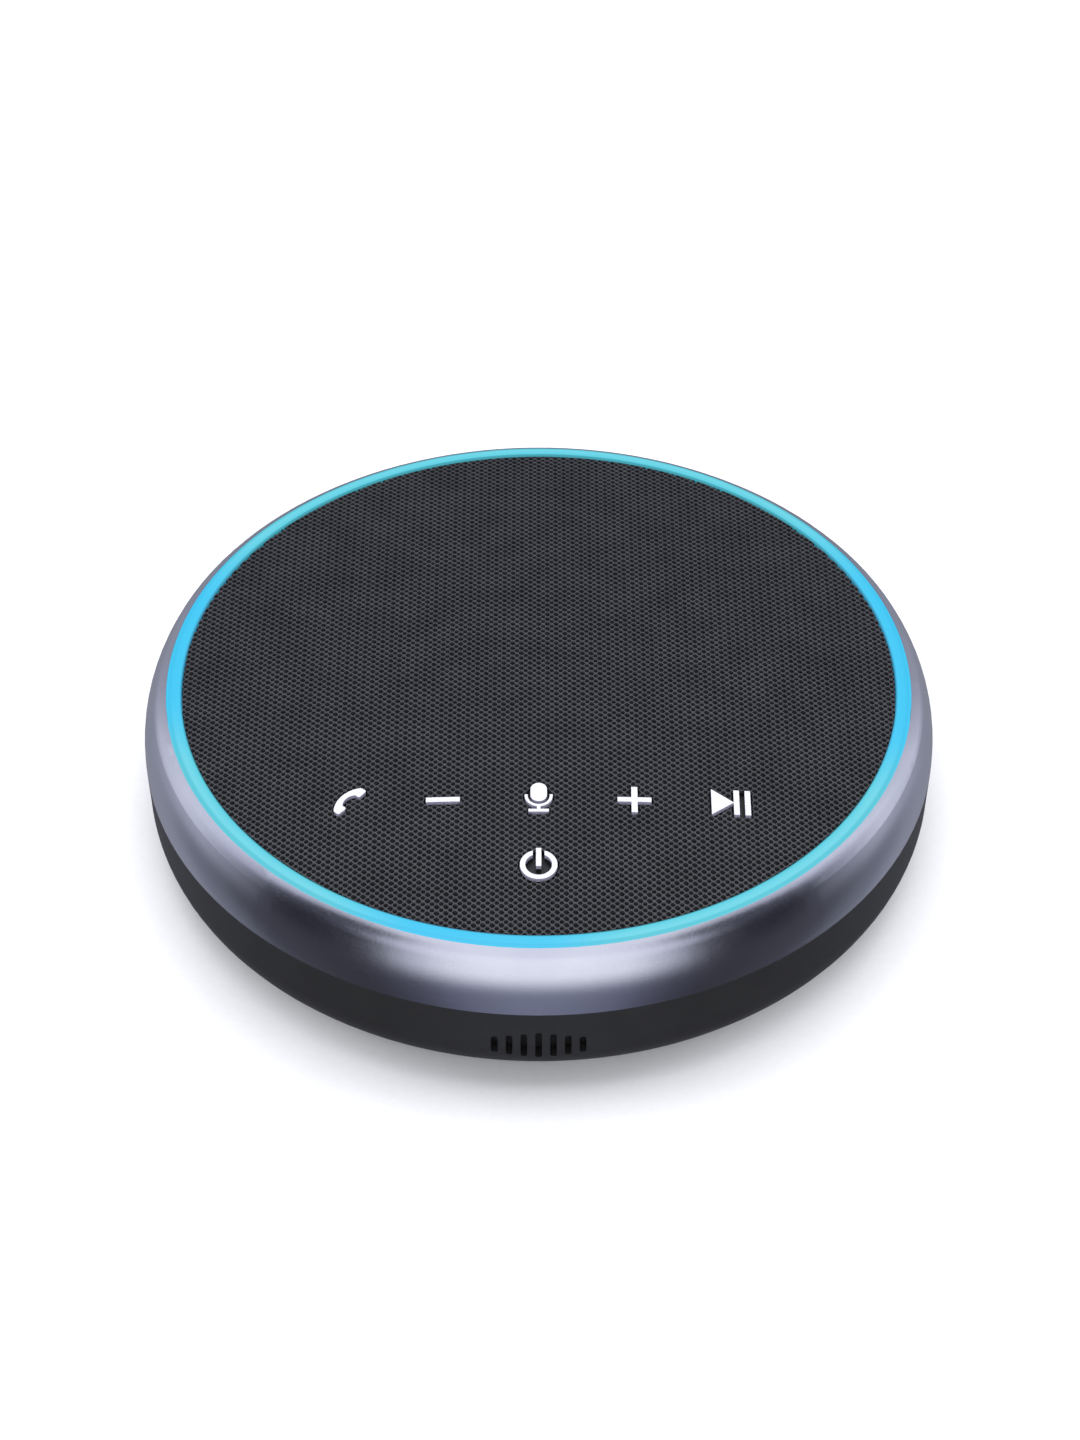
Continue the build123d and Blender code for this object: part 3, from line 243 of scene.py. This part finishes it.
# Panel overhead: its colour, where it ends to the sides, and the heights over which it comes in
OVERHEAD = (1.05, 1.07, 1.15)
OVERHEAD_EDGE = (0.48, 0.30)
OVERHEAD_HEIGHT = (0.6, 0.8)
# What the camera sees behind the object
BACKDROP = (0.95, 0.95, 0.95)

# Soft lights: name, place and size in metres, power in watts
SOFTBOXES = [
    ("overhead_softbox", (0.0, 0.25, 1.3), (1.4, 1.4), 14.0),
    ("front_softbox", (0.0, -1.2, 0.9), (1.0, 0.7), 7.0),
    ("left_softbox", (-1.3, 0.2, 0.7), (0.8, 0.8), 5.0),
    ("right_softbox", (1.3, 0.2, 0.7), (0.8, 0.8), 5.0),
]
LIGHT_AIM = (0.0, 0.0, 15 * MM)

FLOOR_HALF = 3.0
FLOOR_TONES = ((0.84, 0.84, 0.85), (0.87, 0.87, 0.88))
FLOOR_GRAIN = 1.2 * MM
FLOOR_ROUGHNESS = 0.9
FLOOR_DEPTH = 0.02 * MM


def aimed(place, target):
    """Rotation of a camera or a light that points from one place at another."""
    return (Vector(target) - Vector(place)).to_track_quat("-Z", "Y").to_euler()


def make_camera():
    """Camera at the photograph's angle, aimed a little under the middle of the ring's plane."""
    data = bpy.data.cameras.new("camera")
    data.sensor_width = SENSOR
    data.lens = LENS
    camera = bpy.data.objects.new("camera", data)
    bpy.context.scene.collection.objects.link(camera)
    centre = Vector((VIEW_PAN, 0.0, RING_PLANE_Z))
    towards_camera = Vector((0.0, -math.cos(VIEW_ELEVATION), math.sin(VIEW_ELEVATION)))
    up = Vector((0.0, math.sin(VIEW_ELEVATION), math.cos(VIEW_ELEVATION)))
    camera.location = centre + towards_camera * VIEW_DISTANCE
    camera.rotation_euler = aimed(camera.location, centre - up * VIEW_DROP)
    bpy.context.scene.camera = camera


def make_softbox(name, place, size, power):
    """Soft area light aimed at the object. The world alone makes the reflections."""
    data = bpy.data.lights.new(name, "AREA")
    data.shape = "RECTANGLE"
    data.size, data.size_y = size
    data.energy = power
    light = bpy.data.objects.new(name, data)
    light.location = place
    light.rotation_euler = aimed(place, LIGHT_AIM)
    light.visible_glossy = False
    bpy.context.scene.collection.objects.link(light)


def make_world():
    """Studio surround, as the metal band mirrors it.

    A bright panel stands in front and another hangs overhead, with dark gaps beside them and softer panels
    at the sides and the back. The camera itself sees a plain pale backdrop instead.
    """
    world = bpy.data.worlds.new("studio")
    bpy.context.scene.world = world
    world.use_nodes = True
    tree = world.node_tree
    tree.nodes.clear()
    output = tree.nodes.new("ShaderNodeOutputWorld")
    x, y, z = axes(tree, add_node(tree, "ShaderNodeTexCoord").outputs["Generated"])
    sideways = math_node(tree, "ABSOLUTE", x)
    # Turn from the front, as a share of a half turn to either side
    turn = math_node(tree, "ARCTAN2", sideways, math_node(tree, "MULTIPLY", y, -1.0))
    share = math_node(tree, "DIVIDE", turn, math.pi)
    colour = ramp_node(tree, share, WORLD_LOW, "EASE")
    for stops, step in zip((WORLD_MIDDLE, WORLD_HIGH), WORLD_STEPS):
        band = ramp_node(tree, share, stops, "EASE")
        colour = mix_node(tree, range_node(tree, z, *step, smooth=True), colour, band)
    # Overhead panel, a strip that runs from front to back
    strip = range_node(tree, sideways, *OVERHEAD_EDGE, smooth=True)
    height = range_node(tree, z, *OVERHEAD_HEIGHT, smooth=True)
    colour = mix_node(tree, math_node(tree, "MULTIPLY", strip, height), colour, OVERHEAD)
    panels = add_node(tree, "ShaderNodeBackground")
    tree.links.new(colour, panels.inputs["Color"])
    backdrop = add_node(tree, "ShaderNodeBackground", {"Color": (*BACKDROP, 1.0)})
    seen = add_node(tree, "ShaderNodeMixShader")
    tree.links.new(add_node(tree, "ShaderNodeLightPath").outputs["Is Camera Ray"], seen.inputs[0])
    tree.links.new(panels.outputs[0], seen.inputs[1])
    tree.links.new(backdrop.outputs[0], seen.inputs[2])
    tree.links.new(seen.outputs[0], output.inputs["Surface"])


def make_floor():
    """Plain pale floor that the band doesn't mirror."""
    corners = [(x * FLOOR_HALF, y * FLOOR_HALF, 0) for x, y in ((-1, -1), (1, -1), (1, 1), (-1, 1))]
    mesh = bpy.data.meshes.new("floor")
    mesh.from_pydata(corners, [], [(0, 1, 2, 3)])
    floor = bpy.data.objects.new("floor", mesh)
    bpy.context.scene.collection.objects.link(floor)
    floor.visible_glossy = False
    mesh.materials.append(speckled("floor_paper", *FLOOR_TONES, FLOOR_GRAIN, FLOOR_ROUGHNESS, FLOOR_DEPTH))


def light_stage():
    """Studio world, soft lights and plain colour handling."""
    make_world()
    for softbox in SOFTBOXES:
        make_softbox(*softbox)
    bpy.context.scene.view_settings.view_transform = "Standard"


# ---------------------------------------------------------------- grille

HOLE_PITCH_X = 1.37 * MM
HOLE_PITCH_Y = 1.18 * MM
HOLE_HALF_WIDTH = 0.47 * MM
HOLE_HALF_HEIGHT = 0.43 * MM
HOLE_SHOULDER = 0.25 * MM
OFFSET_HOLE_SCALE = 0.81
SHEET_THICKNESS = 0.5 * MM
# The sheet is made as this many equal sectors
SECTORS = 3

# How near the edge a corner of the CAD sheet has to be to count as its rim, and how far in the windows start
RIM_REACH = 0.05 * MM
WINDOW_MARGIN = 0.5 * MM
# Faces of the CAD sheet whose normals point up at least this much are its top
TOP_FACE_UP = 0.9
# Corners of the CAD sheet that agree to this many digits of a metre are one place
PLACE_DIGITS = 6
# Faces of the net with less area than this in plan, in square metres, are left out
TINY_AREA = 1e-12


def grille_shape():
    """Radius of the grille, radius of its dome and the height of the dome's centre, from the CAD sheet."""
    points = np.array([v.co for v in nodes["grille"].data.vertices])
    reach = np.hypot(points[:, 0], points[:, 1])
    radius = reach.max()
    top = points[:, 2].max()
    rim = points[reach > radius - RIM_REACH, 2].max()
    drop = top - rim
    dome = (radius**2 + drop**2) / (2 * drop)
    return radius, dome, top - dome


def window_segments(radius):
    """Outline of the icon windows in plan, as segments: the open edges of the CAD sheet's top face."""
    mesh = nodes["grille"].data
    places = [tuple(round(c, PLACE_DIGITS) for c in v.co.xy) for v in mesh.vertices]
    # True for an edge that only one top face has
    open_edges = {}
    for polygon in mesh.polygons:
        if polygon.normal.z < TOP_FACE_UP:
            continue
        corners = [places[index] for index in polygon.vertices]
        for edge in zip(corners, corners[1:] + corners[:1]):
            key = tuple(sorted(edge))
            open_edges[key] = key not in open_edges
    rim = radius - WINDOW_MARGIN
    return np.array([edge for edge, is_open in open_edges.items() if is_open and math.hypot(*edge[0]) < rim])


def inside_outline(points, segments):
    """Even-odd test of points against closed outlines given as loose segments."""
    inside = np.zeros(len(points), bool)
    for (ax, ay), (bx, by) in segments:
        if ay == by:
            continue
        crosses = (ay > points[:, 1]) != (by > points[:, 1])
        at_x = ax + (points[:, 1] - ay) * (bx - ax) / (by - ay)
        inside ^= crosses & (points[:, 0] < at_x)
    return inside


def nearest_on_outline(points, segments):
    """Nearest place on any segment to each point."""
    best = np.full(len(points), np.inf)
    nearest = points.copy()
    for start, end in segments:
        run = end - start
        share = np.clip(((points - start) @ run) / (run @ run), 0, 1)
        place = start + share[:, None] * run
        gap = np.hypot(*(points - place).T)
        closer = gap < best
        nearest[closer] = place[closer]
        best[closer] = gap[closer]
    return nearest


def honeycomb(radius):
    """Flat staggered net: plan points, faces of point indices, and the sector of each face.

    Every hole has six faces round it, out to the four crossings that it shares with its neighbours.
    """
    hole = [
        (HOLE_HALF_WIDTH, 0.0),
        (HOLE_SHOULDER, HOLE_HALF_HEIGHT),
        (-HOLE_SHOULDER, HOLE_HALF_HEIGHT),
        (-HOLE_HALF_WIDTH, 0.0),
        (-HOLE_SHOULDER, -HOLE_HALF_HEIGHT),
        (HOLE_SHOULDER, -HOLE_HALF_HEIGHT),
    ]
    half_x = HOLE_PITCH_X / 2
    half_y = HOLE_PITCH_Y / 2
    columns = int(radius / half_x) + 2
    rows = int(radius / half_y) + 2
    points, faces, sectors, shared = [], [], [], {}

    def crossing(column, row):
        """Index of the net's point there, which up to four holes share."""
        if (column, row) not in shared:
            shared[(column, row)] = len(points)
            points.append((column * half_x, row * half_y))
        return shared[(column, row)]

    for column in range(-columns, columns + 1):
        for row in range(-rows, rows + 1):
            x, y = column * half_x, row * half_y
            if (column + row) % 2 or math.hypot(x, y) > radius + half_x:
                continue
            right, top = crossing(column + 1, row), crossing(column, row + 1)
            left, bottom = crossing(column - 1, row), crossing(column, row - 1)
            corner = range(len(points), len(points) + len(hole))
            scale = OFFSET_HOLE_SCALE if row % 2 else 1.0
            points.extend((x + dx * scale, y + dy * scale) for dx, dy in hole)
            faces += [
                (right, top, corner[1], corner[0]),
                (top, corner[2], corner[1]),
                (top, left, corner[3], corner[2]),
                (left, bottom, corner[4], corner[3]),
                (bottom, corner[5], corner[4]),
                (bottom, right, corner[0], corner[5]),
            ]
            sectors += [int((math.atan2(x, y) / math.tau % 1.0) * SECTORS)] * len(hole)
    return np.array(points), faces, sectors


def plan_area(face, points):
    """Signed area of a face in plan."""
    x, y = points[list(face)].T
    return 0.5 * float(np.dot(x, np.roll(y, -1)) - np.dot(y, np.roll(x, -1)))


def closed_sheet(name, faces, top, bottom):
    """Mesh of a sheet's faces on its top points, the same faces on its bottom points, and walls between."""
    used = sorted({index for face in faces for index in face})
    place = {index: at for at, index in enumerate(used)}
    over = [tuple(place[index] for index in face) for face in faces]
    count = len(used)
    edges = {(a, b) for face in over for a, b in zip(face, face[1:] + face[:1])}
    walls = [(a, a + count, b + count, b) for a, b in sorted(edges) if (b, a) not in edges]
    under = [tuple(index + count for index in reversed(face)) for face in over]
    mesh = bpy.data.meshes.new(name)
    mesh.from_pydata(np.vstack([top[used], bottom[used]]).tolist(), [], over + walls + under)
    return mesh


def make_grille(material):
    """Thin domed sheet with staggered holes, cut round the icons, closed on every side."""
    radius, dome, dome_centre_z = grille_shape()
    points, faces, sectors = honeycomb(radius)
    reach = np.hypot(points[:, 0], points[:, 1])
    beyond = reach > radius
    points[beyond] *= (radius / reach[beyond])[:, None]
    segments = window_segments(radius)
    low, high = segments.min((0, 1)), segments.max((0, 1))
    near = np.all((points > low) & (points < high), axis=1)
    in_window = np.zeros(len(points), bool)
    in_window[near] = inside_outline(points[near], segments)
    points[in_window] = nearest_on_outline(points[in_window], segments)
    heights = dome_centre_z + np.sqrt(dome**2 - (points**2).sum(1))
    top = np.column_stack([points, heights])
    bottom = top - (0.0, 0.0, SHEET_THICKNESS)
    for sector in range(SECTORS):
        kept = [
            face
            for face, where in zip(faces, sectors)
            if where == sector and not in_window[list(face)].all() and plan_area(face, points) > TINY_AREA
        ]
        mesh = closed_sheet(f"grille_sheet_{sector + 1}", kept, top, bottom)
        mesh.materials.append(material)
        sheet = bpy.data.objects.new(mesh.name, mesh)
        bpy.context.scene.collection.objects.link(sheet)
        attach(sheet, "housing")
        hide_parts("grille")


# ---------------------------------------------------------------- materials

BAND_GRAIN = 0.30 * MM
BAND_CLOUD = 9.0 * MM
BAND_TONES = [(0.3, (0.60, 0.615, 0.705)), (0.7, (0.64, 0.65, 0.735))]
BAND_ROUGHNESS = (0.20, 0.27)
BAND_DEPTH = 0.006 * MM

RING_WIDTH = 2.35 * MM
# How far the colours across the ring shift towards the inner edge's shade at the very back
RING_BACK_SHADE = 0.2
# Colours of the lit ring from its inner edge (0) to its outer edge (1); the dark first stop is painted shade
# from the grille along the inner edge
RING_BLUE = [
    (0.00, (0.002, 0.20, 0.36)),
    (0.12, (0.010, 0.49, 0.80)),
    (0.60, (0.010, 0.48, 0.79)),
    (0.78, (0.002, 0.44, 0.74)),
    (1.00, (0.010, 0.50, 0.80)),
]
RING_TURQUOISE = [
    (0.00, (0.004, 0.24, 0.30)),
    (0.12, (0.070, 0.53, 0.65)),
    (0.45, (0.120, 0.57, 0.68)),
    (0.64, (0.120, 0.57, 0.68)),
    (0.76, (0.055, 0.47, 0.57)),
    (0.92, (0.055, 0.46, 0.56)),
    (1.00, (0.080, 0.52, 0.62)),
]
# Share of turquoise over blue round the ring, by share of a turn from the back through the left side
RING_TINTS = [
    (0.0, 1.0),
    (0.14, 1.0),
    (0.20, 0.0),
    (0.26, 0.0),
    (0.31, 1.0),
    (0.40, 1.0),
    (0.455, 0.0),
    (0.50, 0.1),
    (0.54, 1.0),
    (0.67, 1.0),
    (0.72, 0.0),
    (0.80, 0.0),
    (0.88, 1.0),
    (1.0, 1.0),
]
RING_BODY = (0.02, 0.06, 0.07)
RING_ROUGHNESS = 0.35

KEY_GRAIN = 0.4 * MM
KEY_TOP = ((0.58, 0.58, 0.63), (0.63, 0.63, 0.67))
# Lavender painted shade on the icons' side walls, darker than their white tops
KEY_WALL_PAINTED_SHADE = ((0.30, 0.29, 0.39), (0.35, 0.34, 0.44))
KEY_BODY = ((0.012, 0.012, 0.013), (0.020, 0.020, 0.021))
# The white starts this far under the grille's dome
KEY_WHITE_DEPTH = 0.35 * MM
# Upward part of the normal over which the lavender painted shade on an icon's wall turns into its white top
KEY_TOP_EDGE = (0.4, 0.8)
KEY_ROUGHNESS = (0.38, 0.48)
KEY_DEPTH = 0.003 * MM

# Range of a plain noise's values that a roughness follows
NOISE_RANGE = (0.3, 0.7)

# Moulded, coated and cast finishes by slot: material name, dark tone, light tone, grain and roughness
FINISHES = {
    "bowl_plastic": ("bowl_texture", (0.0125, 0.0125, 0.0135), (0.017, 0.017, 0.018), 0.22 * MM, 0.55),
    "grille_metal": ("grille_coat", (0.025, 0.026, 0.030), (0.045, 0.047, 0.053), 0.25 * MM, 0.45),
    "mesh_black": ("mesh_black", (0.006, 0.006, 0.007), (0.012, 0.012, 0.013), 0.12 * MM, 0.85),
    "foot_rubber": ("foot_rubber", (0.016, 0.016, 0.016), (0.026, 0.026, 0.026), 0.5 * MM, 0.8),
    "inner_plastic": ("inner_plastic", (0.022, 0.022, 0.023), (0.034, 0.034, 0.035), 0.3 * MM, 0.6),
    "switch_stem": ("switch_stem", (0.014, 0.014, 0.014), (0.024, 0.024, 0.024), 0.3 * MM, 0.5),
    "board_green": ("board_mask", (0.006, 0.075, 0.035), (0.010, 0.11, 0.05), 1.5 * MM, 0.35),
    "led_lens": ("led_lens", (0.80, 0.80, 0.66), (0.90, 0.90, 0.80), 0.3 * MM, 0.25),
    "flex_film": ("flex_film", (0.46, 0.15, 0.02), (0.58, 0.21, 0.03), 0.8 * MM, 0.3),
    "chip_black": ("chip_epoxy", (0.010, 0.010, 0.010), (0.020, 0.020, 0.020), 0.15 * MM, 0.55),
    "shield_steel": ("shield_steel", (0.50, 0.50, 0.51), (0.60, 0.60, 0.60), 0.2 * MM, 0.33),
    "jack_plastic": ("jack_plastic", (0.010, 0.010, 0.011), (0.018, 0.018, 0.019), 0.2 * MM, 0.45),
    "connector_cream": ("connector_cream", (0.66, 0.60, 0.44), (0.74, 0.68, 0.52), 0.4 * MM, 0.5),
    "capacitor_can": ("capacitor_can", (0.60, 0.60, 0.62), (0.70, 0.70, 0.72), 0.3 * MM, 0.3),
    "screw_steel": ("screw_zinc", (0.42, 0.42, 0.43), (0.56, 0.56, 0.57), 0.2 * MM, 0.32),
    "magnet_plated": ("magnet_plate", (0.16, 0.16, 0.17), (0.24, 0.24, 0.25), 0.5 * MM, 0.4),
    "cone_paper": ("cone_pulp", (0.012, 0.012, 0.012), (0.026, 0.025, 0.024), 0.5 * MM, 0.85),
    "coil_copper": ("coil_copper", (0.50, 0.20, 0.07), (0.64, 0.29, 0.11), 0.2 * MM, 0.3),
    "surround_rubber": ("surround_rubber", (0.010, 0.010, 0.010), (0.018, 0.018, 0.018), 0.4 * MM, 0.6),
    "spider_cloth": ("spider_cloth", (0.48, 0.33, 0.12), (0.60, 0.43, 0.18), 0.3 * MM, 0.9),
    "battery_foil": ("battery_foil", (0.50, 0.52, 0.56), (0.62, 0.64, 0.68), 2.0 * MM, 0.35),
    "pad_foam": ("pad_foam", (0.012, 0.012, 0.012), (0.024, 0.024, 0.024), 0.4 * MM, 0.95),
    "lead_sleeve": ("lead_sleeve", (0.26, 0.008, 0.006), (0.36, 0.014, 0.010), 0.8 * MM, 0.4),
}
# Slots whose grain is deeper or shallower than GRAIN_DEPTH
OWN_GRAIN_DEPTH = {
    "bowl_plastic": 0.012 * MM,
    "grille_metal": 0.006 * MM,
    "shield_steel": 0.004 * MM,
    "cone_paper": 0.03 * MM,
    "spider_cloth": 0.04 * MM,
}
METALLIC = {
    "shield_steel": 1.0,
    "capacitor_can": 1.0,
    "screw_steel": 1.0,
    "magnet_plated": 1.0,
    "coil_copper": 1.0,
    "battery_foil": 0.9,
}


def band_material():
    """Bead-blasted and anodised aluminium."""
    material, tree, shader = new_material("band_anodised")
    grain = noise(tree, BAND_GRAIN)
    cloud = noise(tree, BAND_CLOUD, BROAD_DETAIL)
    tree.links.new(ramp_node(tree, cloud, BAND_TONES), shader.inputs["Base Color"])
    tree.links.new(range_node(tree, grain, *NOISE_RANGE, *BAND_ROUGHNESS), shader.inputs["Roughness"])
    shader.inputs["Metallic"].default_value = 1.0
    bump(tree, shader, grain, BAND_DEPTH)
    return material


def light_ring_material():
    """Lit diffuser: blue or turquoise by its place round the ring, with painted shade along its inner edge
    that is wider at the back.
    """
    material, tree, shader = new_material("light_ring_diffuser")
    x, y, _ = axes(tree, object_point(tree))
    squares = [math_node(tree, "MULTIPLY", side, side) for side in (x, y)]
    reach = math_node(tree, "SQRT", math_node(tree, "ADD", *squares))
    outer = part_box("light_ring")[1].x
    # The painted shade along the inner edge reaches further out across the ring towards the back
    back_shade = range_node(tree, y, 0.0, outer, 0.0, RING_BACK_SHADE)
    across = math_node(tree, "SUBTRACT", range_node(tree, reach, outer - RING_WIDTH, outer), back_shade)
    turn = math_node(tree, "ARCTAN2", x, math_node(tree, "MULTIPLY", y, -1.0))
    tints = [(position, (turquoise_share,) * 3) for position, turquoise_share in RING_TINTS]
    tint = ramp_node(tree, range_node(tree, turn, -math.pi, math.pi), tints, "EASE")
    blue = ramp_node(tree, across, RING_BLUE)
    turquoise = ramp_node(tree, across, RING_TURQUOISE)
    tree.links.new(mix_node(tree, tint, blue, turquoise), shader.inputs["Emission Color"])
    shader.inputs["Base Color"].default_value = (*RING_BODY, 1.0)
    shader.inputs["Emission Strength"].default_value = 1.0
    shader.inputs["Roughness"].default_value = RING_ROUGHNESS
    return material


def key_material():
    """Two-shot key: a white icon above the grille, with lavender painted shade on its walls, and dark
    plastic below the grille.
    """
    material, tree, shader = new_material("key_two_shot")
    _, dome, dome_centre_z = grille_shape()
    offset = add_node(tree, "ShaderNodeVectorMath", {1: (0.0, 0.0, dome_centre_z)}, operation="DISTANCE")
    tree.links.new(object_point(tree), offset.inputs[0])
    above = math_node(tree, "GREATER_THAN", offset.outputs["Value"], dome - KEY_WHITE_DEPTH)
    grain = noise(tree, KEY_GRAIN)
    _, _, upward = axes(tree, add_node(tree, "ShaderNodeTexCoord").outputs["Normal"])
    # Walls that face sideways get the lavender painted shade, and faces that look up get the white
    shade_to_white_top = range_node(tree, upward, *KEY_TOP_EDGE)
    icon = mix_node(tree, shade_to_white_top, tones(tree, grain, *KEY_WALL_PAINTED_SHADE), tones(tree, grain, *KEY_TOP))
    colour = mix_node(tree, above, tones(tree, grain, *KEY_BODY), icon)
    tree.links.new(colour, shader.inputs["Base Color"])
    tree.links.new(range_node(tree, grain, *NOISE_RANGE, *KEY_ROUGHNESS), shader.inputs["Roughness"])
    bump(tree, shader, grain, KEY_DEPTH)
    return material


def slot_materials():
    """A procedural finish for each material slot of the record."""
    materials = {
        "band_metal": band_material(),
        "light_guide": light_ring_material(),
        "icon_white": key_material(),
    }
    for slot, finish in FINISHES.items():
        depth = OWN_GRAIN_DEPTH.get(slot, GRAIN_DEPTH)
        materials[slot] = speckled(*finish, depth, METALLIC.get(slot, 0.0))
    return materials


def dress_nodes(materials):
    """Gives every CAD node the finish of its record slot."""
    for part in frame["record"]["subparts"]:
        node = nodes[part["node"]]
        node.data.materials.clear()
        node.data.materials.append(materials[part["material_slot"]])


make_camera()
light_stage()
make_floor()
finishes = slot_materials()
dress_nodes(finishes)
make_grille(finishes["grille_metal"])
